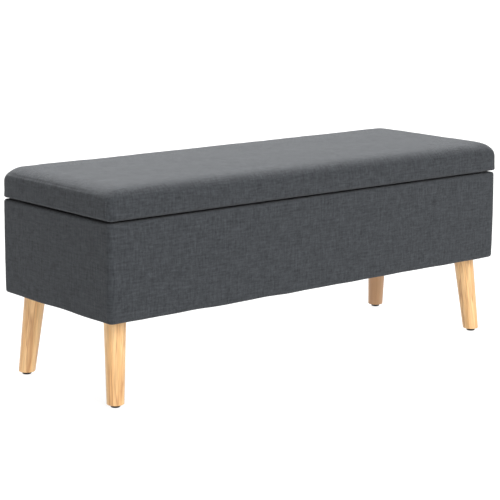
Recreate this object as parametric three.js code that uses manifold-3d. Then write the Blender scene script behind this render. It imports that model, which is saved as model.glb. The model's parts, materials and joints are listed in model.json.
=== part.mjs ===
// An upholstered storage bench: a padded box on four splayed wooden legs, with a hinged, padded lid.
// Millimetres. X runs along the bench, -Y is the front and Z is up.
// The origin lies on the floor under the centre of the bench.
import * as THREE from "three";
import { mergeVertices } from "three/addons/utils/BufferGeometryUtils.js";
import Module from "manifold-3d";

const wasm = await Module();
wasm.setup();

// ---- Driving dimensions ----

const GAP = 0.3; // between pieces that touch
const HOLE_CLEARANCE = 0.3; // round a bolt, screw, pin or rivet

// The box
const BASE_LENGTH = 1090;
const BASE_FRONT = -196;
const BASE_BACK = 194;
const BASE_BOTTOM = 180;
const BASE_TOP = 381.5;
const BASE_CORNER_RADIUS = 20;
const BASE_EDGE_RADIUS = 6;
const COVER_THICKNESS = 1.2;
const PADDING_THICKNESS = 3;
const PANEL_THICKNESS = 15;
const BOTTOM_PANEL_THICKNESS = 12;
const LINING_THICKNESS = 0.8;
const DUST_COVER_THICKNESS = 0.5;
const DUST_COVER_INSET = 12;
const BOTTOM_HEM = 25;
const PADDING_EDGE_INSET = 4.5; // from the top and bottom of the box

// The lid
const LID_LENGTH = 1100;
const LID_FRONT = -200;
const LID_BACK = 194;
const LID_BOTTOM = 386;
const LID_TOP = 452.5;
const LID_CORNER_RADIUS = 25;
const LID_EDGE_RADIUS = 24;
const LID_BOARD_THICKNESS = 12;
const LID_HEM = 40;
const LID_LINING_OVERLAP = 8; // onto the hem
const LID_LINING_BACK_GAP = 7; // to the hinge leaves

// The legs
const LEG_TOP_RADIUS = 23;
const LEG_FOOT_RADIUS = 18;
const LEG_FOOT_CHAMFER = 1.5;
const LEG_INSET_X = 40.4; // from the box's end to a leg's axis, at the bottom of the box
const LEG_INSET_Y = 49.5; // from its front or back, at the same height
const LEG_SPLAY_X = 13.8; // how far the foot stands outside that
const LEG_SPLAY_Y = 18.4;
const GLIDE_RADIUS = 10;
const GLIDE_HEIGHT = 6;
const GLIDE_EDGE_RADIUS = 2.5;
const LEG_PLATE_SIZE = 64;
const LEG_PLATE_THICKNESS = 2.5;
const LEG_PLATE_SCREW_SPACING = 48;
const LEG_PLATE_HOLE_RADIUS = 2.5;
const PLATE_CORNER_RADIUS = 6; // of the leg plates and the stay brackets
const LEG_BOLT_RADIUS = 4;
const LEG_BOLT_BOTTOM = 135;
const LEG_BOLT_TOP = 190;

// The lid's two butt hinges
const HINGE_AXIS_Y = 197.2;
const HINGE_AXIS_Z = (BASE_TOP + LID_BOTTOM) / 2;
const HINGE_X = 330; // from the middle of the bench to the middle of a hinge
const HINGE_LENGTH = 64;
const HINGE_LEAF_THICKNESS = 1.2;
const HINGE_LEAF_FRONT = 175;
const KNUCKLE_RADIUS = 2.8;
const KNUCKLE_LENGTH = 22; // of the lid leaf's middle knuckle
const HINGE_PIN_RADIUS = 1.4;
const HINGE_SCREW_SPACING = 40;
const HINGE_SCREW_Y = 184;
const SCREW_RADIUS = 1.5;
const SCREW_HEAD_RADIUS = 3.2;
const SCREW_LENGTH = 11;

// The folding stays at the two ends of the box, with the lid closed
const STAY_BASE_PIVOT = { y: 150, z: 235 };
const STAY_LID_PIVOT = { y: 70, z: 370 };
const LOWER_LINK_LENGTH = 130;
const UPPER_LINK_LENGTH = 154;
const LINK_WIDTH = 14;
const STAY_METAL = 2;
const RIVET_RADIUS = 3;
const RIVET_HEAD_RADIUS = 5;
const RIVET_HEAD_THICKNESS = 1.4;
const BASE_BRACKET_WIDTH = 26;
const BASE_BRACKET_HEIGHT = 70;
const BASE_BRACKET_SCREW_SPACING = 50;
const LID_BRACKET_WIDTH = 40;
const LID_BRACKET_FLANGE = 20;
const LID_BRACKET_TAB_RADIUS = 9;
const LID_BRACKET_SCREW_SPACING = 26;
const BRACKET_HOLE_RADIUS = 2.2;

const BUMPER_RADIUS = 5;
const BUMPER_INSET = 14;

// ---- Materials ----

const material = (color, roughness, metalness = 0) =>
  new THREE.MeshStandardMaterial({ color, roughness, metalness });
const charcoalFabric = material(0x53565b, 0.95);
const paleWood = material(0xdcb383, 0.55);
const blackPlastic = material(0x141414, 0.5);
const zincSteel = material(0xb4b7ba, 0.35, 1);
const fibreboard = material(0xa98a63, 0.85);
const foam = material(0xe9e2cf, 0.95);
const blackLining = material(0x1c1c1e, 0.95);

// ---- Shapes and solids ----

// A closed geometry as a solid that can be cut and joined.
function solidOf(geometry) {
  const bare = new THREE.BufferGeometry();
  bare.setAttribute("position", geometry.getAttribute("position"));
  bare.setIndex(geometry.getIndex());
  const merged = mergeVertices(bare, 1e-4);
  return new wasm.Manifold(
    new wasm.Mesh({
      numProp: 3,
      vertProperties: merged.getAttribute("position").array,
      triVerts: new Uint32Array(merged.getIndex().array),
    }),
  );
}

function geometryOf(solid) {
  const { vertProperties, triVerts } = solid.getMesh();
  const geometry = new THREE.BufferGeometry();
  geometry.setAttribute("position", new THREE.BufferAttribute(vertProperties, 3));
  geometry.setIndex(new THREE.BufferAttribute(triVerts, 1));
  geometry.computeVertexNormals();
  return geometry;
}

function cut(geometry, ...tools) {
  return geometryOf(tools.reduce((solid, tool) => solid.subtract(solidOf(tool)), solidOf(geometry)));
}

function join(geometry, ...others) {
  return geometryOf(others.reduce((solid, other) => solid.add(solidOf(other)), solidOf(geometry)));
}

function box(x0, x1, y0, y1, z0, z1) {
  const geometry = new THREE.BoxGeometry(x1 - x0, y1 - y0, z1 - z0);
  return geometry.translate((x0 + x1) / 2, (y0 + y1) / 2, (z0 + z1) / 2);
}

function roundedRectangle(x0, x1, y0, y1, radius) {
  const shape = new THREE.Shape();
  shape.absarc(x1 - radius, y1 - radius, radius, 0, Math.PI / 2);
  shape.absarc(x0 + radius, y1 - radius, radius, Math.PI / 2, Math.PI);
  shape.absarc(x0 + radius, y0 + radius, radius, Math.PI, 1.5 * Math.PI);
  shape.absarc(x1 - radius, y0 + radius, radius, 1.5 * Math.PI, 2 * Math.PI);
  return shape;
}

function roundHole(x, y, radius) {
  return new THREE.Path().absarc(x, y, radius, 0, 2 * Math.PI);
}

// A shape in X and Y, extruded from z0 to z1. Its end edges are rounded by bevel.
function extruded(shape, z0, z1, bevel = 0) {
  const geometry = new THREE.ExtrudeGeometry(shape, {
    depth: z1 - z0 - 2 * bevel,
    bevelEnabled: bevel > 0,
    bevelThickness: bevel,
    bevelSize: bevel,
    bevelOffset: -bevel,
    bevelSegments: 4,
    curveSegments: 4,
  });
  return geometry.translate(0, 0, z0 + bevel);
}

// The outline of the box or the lid, drawn in by inset.
function baseOutline(inset) {
  const x = BASE_LENGTH / 2 - inset;
  const radius = Math.max(BASE_CORNER_RADIUS - inset, 1);
  return roundedRectangle(-x, x, BASE_FRONT + inset, BASE_BACK - inset, radius);
}

function lidOutline(inset) {
  const x = LID_LENGTH / 2 - inset;
  const radius = Math.max(LID_CORNER_RADIUS - inset, 1);
  return roundedRectangle(-x, x, LID_FRONT + inset, LID_BACK - inset, radius);
}

// A block with the lid's outline, a flat bottom and a rounded top edge.
function lidBlock(inset, bottom, top) {
  const bevel = LID_EDGE_RADIUS - inset;
  const block = extruded(lidOutline(inset), bottom - bevel, top, bevel);
  const x = LID_LENGTH;
  return cut(block, box(-x, x, -x, x, bottom - 2 * bevel, bottom));
}

// A turned solid about the Z axis, from profile points of radius and height.
function turned(points, segments) {
  const profile = points.map(([radius, height]) => new THREE.Vector2(radius, height));
  return new THREE.LatheGeometry(profile, segments).rotateX(Math.PI / 2);
}

function rod(radius, z0, z1, segments = 12) {
  return turned([[0, z0], [radius, z0], [radius, z1], [0, z1]], segments);
}

// Slides each horizontal slice of a geometry sideways in proportion to its height.
function sheared(geometry, slopeX, slopeY) {
  const shear = new THREE.Matrix4().set(1, 0, slopeX, 0, 0, 1, slopeY, 0, 0, 0, 1, 0, 0, 0, 0, 1);
  return geometry.applyMatrix4(shear);
}

// ---- The bench ----

const bench = new THREE.Group();

function add(parent, name, geometry, finish) {
  const mesh = new THREE.Mesh(geometry, finish);
  mesh.name = name;
  parent.add(mesh);
  return mesh;
}

const SIDES = [["left", -1], ["right", 1]];
const CORNERS = SIDES.flatMap(([side, signX]) => [
  [`front_${side}`, signX, -1],
  [`back_${side}`, signX, 1],
]);

// Layers of the box's walls, as insets from the outside of its cover.
const PADDING_OUT = COVER_THICKNESS + GAP;
const PANEL_OUT = PADDING_OUT + PADDING_THICKNESS + GAP;
const PANEL_IN = PANEL_OUT + PANEL_THICKNESS;
const LINING_OUT = PANEL_IN + GAP;
const LINING_IN = LINING_OUT + LINING_THICKNESS;
const PANEL_BOTTOM = BASE_BOTTOM + COVER_THICKNESS + GAP;
const PANEL_TOP = BASE_TOP - COVER_THICKNESS - GAP;
const FLOOR_TOP = PANEL_BOTTOM + BOTTOM_PANEL_THICKNESS;

// A leg's line: where its axis is at a height above the floor.
function legAxis(signX, signY, z) {
  const raised = 1 - z / BASE_BOTTOM;
  const middle = (BASE_FRONT + BASE_BACK) / 2;
  const halfDepth = (BASE_BACK - BASE_FRONT) / 2;
  return {
    x: signX * (BASE_LENGTH / 2 - LEG_INSET_X + raised * LEG_SPLAY_X),
    y: middle + signY * (halfDepth - LEG_INSET_Y + raised * LEG_SPLAY_Y),
  };
}

// Moves a solid that stands upright on the origin onto a leg's sloping line.
function alongLeg(geometry, signX, signY) {
  const foot = legAxis(signX, signY, 0);
  const slopeX = (-signX * LEG_SPLAY_X) / BASE_BOTTOM;
  const slopeY = (-signY * LEG_SPLAY_Y) / BASE_BOTTOM;
  return sheared(geometry, slopeX, slopeY).translate(foot.x, foot.y, 0);
}

function boltHole(signX, signY, z0, z1) {
  return alongLeg(rod(LEG_BOLT_RADIUS + HOLE_CLEARANCE, z0, z1), signX, signY);
}

// The countersunk holes and screws of one hinge, relative to the hinge's middle.
const SCREW_PLACES = [-1, 1].map((sign) => (sign * HINGE_SCREW_SPACING) / 2);

function screwSolid(clearance, extraLength) {
  const shank = SCREW_RADIUS + clearance;
  const head = SCREW_HEAD_RADIUS + clearance;
  return turned(
    [
      [0, -SCREW_LENGTH - extraLength],
      [shank, -SCREW_LENGTH - extraLength],
      [shank, -HINGE_LEAF_THICKNESS],
      [head, 0],
      [0, 0],
    ],
    10,
  );
}

const BASE_LEAF_TOP = BASE_TOP + GAP + HINGE_LEAF_THICKNESS;
const LID_LEAF_BOTTOM = LID_BOTTOM - GAP - HINGE_LEAF_THICKNESS;

function baseScrewHole(x) {
  return screwSolid(HOLE_CLEARANCE, 1).translate(x, HINGE_SCREW_Y, BASE_LEAF_TOP);
}

function lidScrewHole(x) {
  const hole = screwSolid(HOLE_CLEARANCE, 0.4).rotateX(Math.PI);
  return hole.translate(x, HINGE_SCREW_Y, LID_LEAF_BOTTOM);
}

const HINGE_SCREW_XS = SIDES.flatMap(([, sign]) => SCREW_PLACES.map((x) => sign * HINGE_X + x));

function makeBox(group) {
  const halfLength = BASE_LENGTH / 2;
  const wallX = halfLength - PANEL_OUT;
  const wallFront = BASE_FRONT + PANEL_OUT;
  const wallBack = BASE_BACK - PANEL_OUT;
  const corner = BASE_CORNER_RADIUS - PANEL_OUT;
  const around = extruded(
    roundedRectangle(-wallX, wallX, wallFront, wallBack, corner),
    PANEL_BOTTOM,
    PANEL_TOP,
  );
  // The front and back panels run from end to end, and the end panels stand between them.
  const far = 2 * BASE_LENGTH;
  const low = BASE_BOTTOM - 1;
  const high = BASE_TOP + 1;
  const innerFront = BASE_FRONT + PANEL_IN;
  const innerBack = BASE_BACK - PANEL_IN;
  const frontPanel = cut(around, box(-far, far, innerFront, far, low, high));
  const backPanel = cut(
    around,
    box(-far, far, -far, innerBack, low, high),
    ...HINGE_SCREW_XS.map(baseScrewHole),
  );
  add(group, "front_panel", frontPanel, fibreboard);
  add(group, "back_panel", backPanel, fibreboard);
  for (const [side, sign] of SIDES) {
    const xs = [sign * wallX, sign * (halfLength - PANEL_IN)].sort((a, b) => a - b);
    const panel = box(...xs, innerFront + GAP, innerBack - GAP, PANEL_BOTTOM, PANEL_TOP);
    add(group, `${side}_end_panel`, panel, fibreboard);
  }

  const floorX = halfLength - LINING_OUT;
  const bottomPanel = cut(
    box(-floorX, floorX, innerFront + GAP, innerBack - GAP, PANEL_BOTTOM, FLOOR_TOP),
    ...CORNERS.map(([, signX, signY]) => boltHole(signX, signY, low, FLOOR_TOP + 1)),
  );
  add(group, "bottom_panel", bottomPanel, fibreboard);

  // The padding stops short of the box's rounded top and bottom edges.
  const padding = baseOutline(PADDING_OUT);
  padding.holes.push(baseOutline(PADDING_OUT + PADDING_THICKNESS));
  const paddingSolid = extruded(
    padding,
    BASE_BOTTOM + PADDING_EDGE_INSET,
    BASE_TOP - PADDING_EDGE_INSET,
  );
  add(group, "base_padding", paddingSolid, foam);

  const outside = extruded(baseOutline(0), BASE_BOTTOM, BASE_TOP, BASE_EDGE_RADIUS);
  const inside = extruded(
    baseOutline(COVER_THICKNESS),
    BASE_BOTTOM + COVER_THICKNESS,
    BASE_TOP - COVER_THICKNESS,
    BASE_EDGE_RADIUS - COVER_THICKNESS,
  );
  const middleHeight = (BASE_BOTTOM + BASE_TOP) / 2;
  const cover = cut(
    outside,
    inside,
    extruded(baseOutline(LINING_OUT - GAP / 2), middleHeight, high),
    extruded(baseOutline(BOTTOM_HEM), low, middleHeight),
    ...HINGE_SCREW_XS.map(baseScrewHole),
  );
  add(group, "base_cover", cover, charcoalFabric);

  const trayX = halfLength - LINING_OUT;
  const hollowX = halfLength - LINING_IN;
  const trayBottom = FLOOR_TOP + GAP;
  const tray = cut(
    box(-trayX, trayX, BASE_FRONT + LINING_OUT, BASE_BACK - LINING_OUT, trayBottom, PANEL_TOP),
    box(
      -hollowX,
      hollowX,
      BASE_FRONT + LINING_IN,
      BASE_BACK - LINING_IN,
      trayBottom + LINING_THICKNESS,
      high,
    ),
  );
  add(group, "storage_lining", tray, blackLining);

  const dustTop = BASE_BOTTOM - GAP;
  const dustCover = cut(
    extruded(baseOutline(DUST_COVER_INSET), dustTop - DUST_COVER_THICKNESS, dustTop),
    ...CORNERS.map(([, signX, signY]) => boltHole(signX, signY, low - 1, high)),
  );
  add(group, "dust_cover", dustCover, blackLining);
}

function makeLegs(group) {
  const plateTop = BASE_BOTTOM - 2 * GAP - DUST_COVER_THICKNESS;
  const plateBottom = plateTop - LEG_PLATE_THICKNESS;
  const legTop = plateBottom - GAP;
  const legBottom = GLIDE_HEIGHT + GAP;
  for (const [place, signX, signY] of CORNERS) {
    const top = legAxis(signX, signY, plateTop);
    const half = LEG_PLATE_SIZE / 2;
    const screwAt = LEG_PLATE_SCREW_SPACING / 2;
    const plateShape = roundedRectangle(-half, half, -half, half, PLATE_CORNER_RADIUS);
    for (const x of [-screwAt, screwAt]) {
      for (const y of [-screwAt, screwAt]) {
        plateShape.holes.push(roundHole(x, y, LEG_PLATE_HOLE_RADIUS));
      }
    }
    const plate = extruded(plateShape, plateBottom, plateTop).translate(top.x, top.y, 0);
    const plateHole = boltHole(signX, signY, plateBottom - 1, plateTop + 1);
    add(group, `leg_plate_${place}`, cut(plate, plateHole), zincSteel);

    const bolt = alongLeg(rod(LEG_BOLT_RADIUS, LEG_BOLT_BOTTOM, LEG_BOLT_TOP), signX, signY);
    add(group, `leg_bolt_${place}`, bolt, zincSteel);

    const profile = [
      [0, legBottom],
      [LEG_FOOT_RADIUS - LEG_FOOT_CHAMFER, legBottom],
      [LEG_FOOT_RADIUS, legBottom + LEG_FOOT_CHAMFER],
      [LEG_TOP_RADIUS, legTop],
      [0, legTop],
    ];
    const leg = alongLeg(turned(profile, 28), signX, signY);
    const legHole = boltHole(signX, signY, LEG_BOLT_BOTTOM - GAP, legTop + 1);
    add(group, `leg_${place}`, cut(leg, legHole), paleWood);

    const foot = legAxis(signX, signY, 0);
    const edge = [0, 30, 60, 90].map((degrees) => {
      const angle = THREE.MathUtils.degToRad(degrees);
      const radius = GLIDE_RADIUS - GLIDE_EDGE_RADIUS * (1 - Math.sin(angle));
      return [radius, GLIDE_EDGE_RADIUS * (1 - Math.cos(angle))];
    });
    const glideProfile = [[0, 0], ...edge, [GLIDE_RADIUS, GLIDE_HEIGHT], [0, GLIDE_HEIGHT]];
    const glide = turned(glideProfile, 20).translate(foot.x, foot.y, 0);
    add(group, `glide_${place}`, glide, blackPlastic);
  }
}

function makeLid(group) {
  const boardBottom = LID_BOTTOM + COVER_THICKNESS + GAP;
  const boardTop = boardBottom + LID_BOARD_THICKNESS;
  const boardInset = COVER_THICKNESS + GAP;
  const board = cut(
    extruded(lidOutline(boardInset), boardBottom, boardTop),
    ...HINGE_SCREW_XS.map(lidScrewHole),
  );
  add(group, "lid_board", board, fibreboard);
  const foamTop = LID_TOP - COVER_THICKNESS - GAP;
  add(group, "lid_foam", lidBlock(boardInset, boardTop + GAP, foamTop), foam);

  const cover = cut(
    lidBlock(0, LID_BOTTOM, LID_TOP),
    lidBlock(COVER_THICKNESS, LID_BOTTOM + COVER_THICKNESS, LID_TOP - COVER_THICKNESS),
    extruded(lidOutline(LID_HEM), LID_BOTTOM - 1, boardBottom),
    ...HINGE_SCREW_XS.map(lidScrewHole),
  );
  add(group, "lid_cover", cover, charcoalFabric);

  const liningInset = LID_HEM - LID_LINING_OVERLAP;
  const liningX = LID_LENGTH / 2 - liningInset;
  const liningBack = HINGE_LEAF_FRONT - LID_LINING_BACK_GAP;
  const liningTop = LID_BOTTOM - GAP;
  const liningBottom = liningTop - DUST_COVER_THICKNESS;
  const lining = box(
    -liningX,
    liningX,
    LID_FRONT + liningInset,
    liningBack,
    liningBottom,
    liningTop,
  );
  add(group, "lid_lining", lining, blackLining);
}

// A knuckle tube along X, centred on the hinge's axis, from x0 to x1.
function knuckleTube(radius, x0, x1) {
  const tube = rod(radius, x0, x1, 16).rotateY(Math.PI / 2);
  return tube.translate(0, HINGE_AXIS_Y, HINGE_AXIS_Z);
}

function makeHinges(baseGroup, lidGroup) {
  const half = HINGE_LENGTH / 2;
  const middle = KNUCKLE_LENGTH / 2;
  const bore = knuckleTube(HINGE_PIN_RADIUS + HOLE_CLEARANCE / 2, -half - 1, half + 1);
  const clearBack = HINGE_AXIS_Y - KNUCKLE_RADIUS - GAP;
  const notch = (x0, x1) => box(x0, x1, clearBack, HINGE_AXIS_Y + 5, BASE_TOP - 5, LID_BOTTOM + 5);
  const leaf = (z) => box(-half, half, HINGE_LEAF_FRONT, HINGE_AXIS_Y - 1.6, z, z + HINGE_LEAF_THICKNESS);
  const baseLeaf = join(
    cut(leaf(BASE_TOP + GAP), notch(-middle - GAP, middle + GAP)),
    knuckleTube(KNUCKLE_RADIUS, -half, -middle - GAP),
    knuckleTube(KNUCKLE_RADIUS, middle + GAP, half),
  );
  const lidLeaf = join(
    cut(leaf(LID_LEAF_BOTTOM), notch(-half - 1, -middle), notch(middle, half + 1)),
    knuckleTube(KNUCKLE_RADIUS, -middle, middle),
  );
  for (const [side, sign] of SIDES) {
    const hingeX = sign * HINGE_X;
    const holes = SCREW_PLACES.map((x) => [baseScrewHole(x), lidScrewHole(x)]);
    const finishedBase = cut(baseLeaf, bore, ...holes.map(([hole]) => hole));
    const finishedLid = cut(lidLeaf, bore, ...holes.map(([, hole]) => hole));
    add(baseGroup, `hinge_base_leaf_${side}`, finishedBase.translate(hingeX, 0, 0), zincSteel);
    add(lidGroup, `hinge_lid_leaf_${side}`, finishedLid.translate(hingeX, 0, 0), zincSteel);
    const pin = knuckleTube(HINGE_PIN_RADIUS, hingeX - half, hingeX + half);
    add(baseGroup, `hinge_pin_${side}`, pin, zincSteel);
    SCREW_PLACES.forEach((x, index) => {
      const baseScrew = screwSolid(0, 0).translate(hingeX + x, HINGE_SCREW_Y, BASE_LEAF_TOP);
      const lidScrew = screwSolid(0, 0).rotateX(Math.PI);
      lidScrew.translate(hingeX + x, HINGE_SCREW_Y, LID_LEAF_BOTTOM);
      add(baseGroup, `hinge_base_screw_${side}_${index + 1}`, baseScrew, zincSteel);
      add(lidGroup, `hinge_lid_screw_${side}_${index + 1}`, lidScrew, zincSteel);
    });
  }
}

// Where the two links of a stay meet while the lid is closed: the corner of the triangle that
// the links make with the line between their end pivots.
function closedElbow() {
  const dy = STAY_LID_PIVOT.y - STAY_BASE_PIVOT.y;
  const dz = STAY_LID_PIVOT.z - STAY_BASE_PIVOT.z;
  const span = Math.hypot(dy, dz);
  const squares = LOWER_LINK_LENGTH ** 2 + span ** 2 - UPPER_LINK_LENGTH ** 2;
  const cosine = squares / (2 * LOWER_LINK_LENGTH * span);
  const angle = Math.atan2(dz, dy) + Math.acos(cosine);
  return {
    y: STAY_BASE_PIVOT.y + LOWER_LINK_LENGTH * Math.cos(angle),
    z: STAY_BASE_PIVOT.z + LOWER_LINK_LENGTH * Math.sin(angle),
  };
}

// A flat bar between two pivots, as an outline along X with round ends and rivet holes.
function linkShape(length, holesAt) {
  const radius = LINK_WIDTH / 2;
  const shape = roundedRectangle(-radius, length + radius, -radius, radius, radius - 0.01);
  shape.holes.push(...holesAt.map((x) => roundHole(x, 0, RIVET_RADIUS + HOLE_CLEARANCE)));
  return shape;
}

// Stands a shape drawn in X and Y up in the YZ plane: its X runs along Y and its Y along Z.
const STANDING = new THREE.Matrix4().makeBasis(
  new THREE.Vector3(0, 1, 0),
  new THREE.Vector3(0, 0, 1),
  new THREE.Vector3(1, 0, 0),
);

// A flat piece in the YZ plane, whose local X runs from one point to another.
function standingBar(shape, from, to, x) {
  const angle = Math.atan2(to.z - from.z, to.y - from.y);
  const bar = extruded(shape, -STAY_METAL / 2, STAY_METAL / 2);
  return bar.rotateZ(angle).applyMatrix4(STANDING).translate(x, from.y, from.z);
}

// A rivet along X. Its outer end is flush, or has a head, and its inner end has a head.
function rivet(sign, outer, inner, outerHead, at) {
  const shankRadius = RIVET_RADIUS;
  const profile = [[0, -outer]];
  if (outerHead) {
    profile.push([RIVET_HEAD_RADIUS, -outer]);
    profile.push([RIVET_HEAD_RADIUS, -outer + RIVET_HEAD_THICKNESS]);
    profile.push([shankRadius, -outer + RIVET_HEAD_THICKNESS]);
  } else {
    profile.push([shankRadius, -outer]);
  }
  profile.push([shankRadius, -inner - RIVET_HEAD_THICKNESS]);
  profile.push([RIVET_HEAD_RADIUS, -inner - RIVET_HEAD_THICKNESS]);
  profile.push([RIVET_HEAD_RADIUS - 1, -inner]);
  profile.push([0, -inner]);
  const turn = sign < 0 ? Math.PI / 2 : -Math.PI / 2;
  return turned(profile, 16).rotateY(turn).translate(0, at.y, at.z);
}

function makeStays(baseGroup, lidGroup) {
  const elbow = closedElbow();
  const step = STAY_METAL + GAP;
  const wall = BASE_LENGTH / 2 - LINING_IN - GAP;
  for (const [side, sign] of SIDES) {
    // Four flat layers, counted inwards from the end wall's lining.
    const layer = (index) => wall - STAY_METAL / 2 - index * step;
    const faceIn = (index) => layer(index) - STAY_METAL / 2;

    const halfWidth = BASE_BRACKET_WIDTH / 2;
    const halfHeight = BASE_BRACKET_HEIGHT / 2;
    const bracketShape = roundedRectangle(
      -halfWidth,
      halfWidth,
      -halfHeight,
      halfHeight,
      PLATE_CORNER_RADIUS,
    );
    bracketShape.holes.push(
      roundHole(0, 0, RIVET_RADIUS + HOLE_CLEARANCE),
      roundHole(0, -BASE_BRACKET_SCREW_SPACING / 2, BRACKET_HOLE_RADIUS),
      roundHole(0, BASE_BRACKET_SCREW_SPACING / 2, BRACKET_HOLE_RADIUS),
    );
    const level = { y: STAY_BASE_PIVOT.y + 1, z: STAY_BASE_PIVOT.z };
    const baseBracket = standingBar(bracketShape, STAY_BASE_PIVOT, level, sign * layer(0));
    add(baseGroup, `stay_base_bracket_${side}`, baseBracket, zincSteel);

    const lowerShape = linkShape(LOWER_LINK_LENGTH, [0, LOWER_LINK_LENGTH]);
    const lower = standingBar(lowerShape, STAY_BASE_PIVOT, elbow, sign * layer(1));
    add(baseGroup, `stay_lower_link_${side}`, lower, zincSteel);
    const upperShape = linkShape(UPPER_LINK_LENGTH, [0]);
    const upper = standingBar(upperShape, elbow, STAY_LID_PIVOT, sign * layer(2));
    add(baseGroup, `stay_upper_link_${side}`, upper, zincSteel);

    // The lid bracket: a hanging tab with a round end, and a flange under the lid.
    const flangeTop = LID_BOTTOM - 2 * GAP - DUST_COVER_THICKNESS;
    const rise = flangeTop - STAY_LID_PIVOT.z;
    const tabShape = new THREE.Shape();
    tabShape.absarc(0, 0, LID_BRACKET_TAB_RADIUS, Math.PI, 2 * Math.PI);
    tabShape.lineTo(LID_BRACKET_WIDTH / 2, rise);
    tabShape.lineTo(-LID_BRACKET_WIDTH / 2, rise);
    tabShape.holes.push(roundHole(0, 0, RIVET_RADIUS + HOLE_CLEARANCE));
    const tabLevel = { y: STAY_LID_PIVOT.y + 1, z: STAY_LID_PIVOT.z };
    const tab = standingBar(tabShape, STAY_LID_PIVOT, tabLevel, sign * layer(3));
    const flangeXs = [
      sign * (layer(3) + STAY_METAL / 2),
      sign * (layer(3) - LID_BRACKET_FLANGE),
    ].sort((a, b) => a - b);
    const flange = box(
      ...flangeXs,
      STAY_LID_PIVOT.y - LID_BRACKET_WIDTH / 2,
      STAY_LID_PIVOT.y + LID_BRACKET_WIDTH / 2,
      flangeTop - STAY_METAL,
      flangeTop,
    );
    const screwX = sign * (layer(3) - LID_BRACKET_FLANGE / 2 - STAY_METAL);
    const screwHoles = [-1, 1].map((direction) => {
      const hole = rod(BRACKET_HOLE_RADIUS, flangeTop - 2 * STAY_METAL, flangeTop + 1);
      const along = (direction * LID_BRACKET_SCREW_SPACING) / 2;
      return hole.translate(screwX, STAY_LID_PIVOT.y + along, 0);
    });
    add(lidGroup, `stay_lid_bracket_${side}`, cut(join(tab, flange), ...screwHoles), zincSteel);

    const headGap = GAP + RIVET_HEAD_THICKNESS;
    const baseRivet = rivet(sign, wall, faceIn(1) - headGap, false, STAY_BASE_PIVOT);
    add(baseGroup, `stay_base_rivet_${side}`, baseRivet, zincSteel);
    const elbowOuter = layer(1) + STAY_METAL / 2 + headGap;
    const elbowRivet = rivet(sign, elbowOuter, faceIn(2) - headGap, true, elbow);
    add(baseGroup, `stay_elbow_rivet_${side}`, elbowRivet, zincSteel);
    // The lid rivet ends inside its bracket, so the upper link's end stays free of it.
    const lidRivet = rivet(sign, layer(3) + STAY_METAL / 2, faceIn(3) - headGap, false, STAY_LID_PIVOT);
    add(lidGroup, `stay_lid_rivet_${side}`, lidRivet, zincSteel);
  }
}

function makeBumpers(group) {
  for (const [side, sign] of SIDES) {
    const x = sign * (BASE_LENGTH / 2 - BUMPER_INSET);
    const profile = [
      [0, BASE_TOP + GAP],
      [BUMPER_RADIUS, BASE_TOP + GAP],
      [BUMPER_RADIUS, LID_BOTTOM - GAP - 1],
      [BUMPER_RADIUS - 1, LID_BOTTOM - GAP],
      [0, LID_BOTTOM - GAP],
    ];
    const bumper = turned(profile, 16).translate(x, BASE_FRONT + BUMPER_INSET, 0);
    add(group, `lid_bumper_${side}`, bumper, blackPlastic);
  }
}

const base = new THREE.Group();
const lid = new THREE.Group();
bench.add(base, lid);
makeBox(base);
makeLegs(base);
makeBumpers(base);
makeLid(lid);
makeHinges(base, lid);
makeStays(base, lid);

export default bench;
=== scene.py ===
import json
import math

import bpy
import numpy as np
from mathutils import Matrix, Vector


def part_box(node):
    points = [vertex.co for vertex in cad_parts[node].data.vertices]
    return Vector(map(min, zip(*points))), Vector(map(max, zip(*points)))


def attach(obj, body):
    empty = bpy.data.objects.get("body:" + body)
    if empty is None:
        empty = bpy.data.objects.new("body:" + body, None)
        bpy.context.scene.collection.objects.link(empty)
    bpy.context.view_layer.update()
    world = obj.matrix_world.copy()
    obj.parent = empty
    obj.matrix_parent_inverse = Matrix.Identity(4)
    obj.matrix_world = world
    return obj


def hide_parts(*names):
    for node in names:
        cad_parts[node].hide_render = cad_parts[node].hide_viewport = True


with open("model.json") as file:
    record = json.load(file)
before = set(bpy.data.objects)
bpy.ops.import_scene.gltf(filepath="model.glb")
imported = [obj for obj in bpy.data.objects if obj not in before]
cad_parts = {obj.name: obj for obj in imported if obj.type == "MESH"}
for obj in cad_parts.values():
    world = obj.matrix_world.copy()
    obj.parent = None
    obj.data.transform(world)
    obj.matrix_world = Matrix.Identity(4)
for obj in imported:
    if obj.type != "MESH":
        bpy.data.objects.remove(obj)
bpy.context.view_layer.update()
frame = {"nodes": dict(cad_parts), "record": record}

# An upholstered storage bench. Metres, with X along the bench, -Y its front and Z up.

MM = 0.001
HAIR = 0.1 * MM  # how far apart, or how far into each other, two skins that touch are made
TINY = 0.01 * MM  # less than the distance between any two points
SIDES = {"left": -1, "right": 1}
CORNERS = {
    f"{depth}_{side}": (sign_x, sign_y)
    for side, sign_x in SIDES.items()
    for depth, sign_y in {"front": -1, "back": 1}.items()
}

# ---- Shader nodes ----


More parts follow.
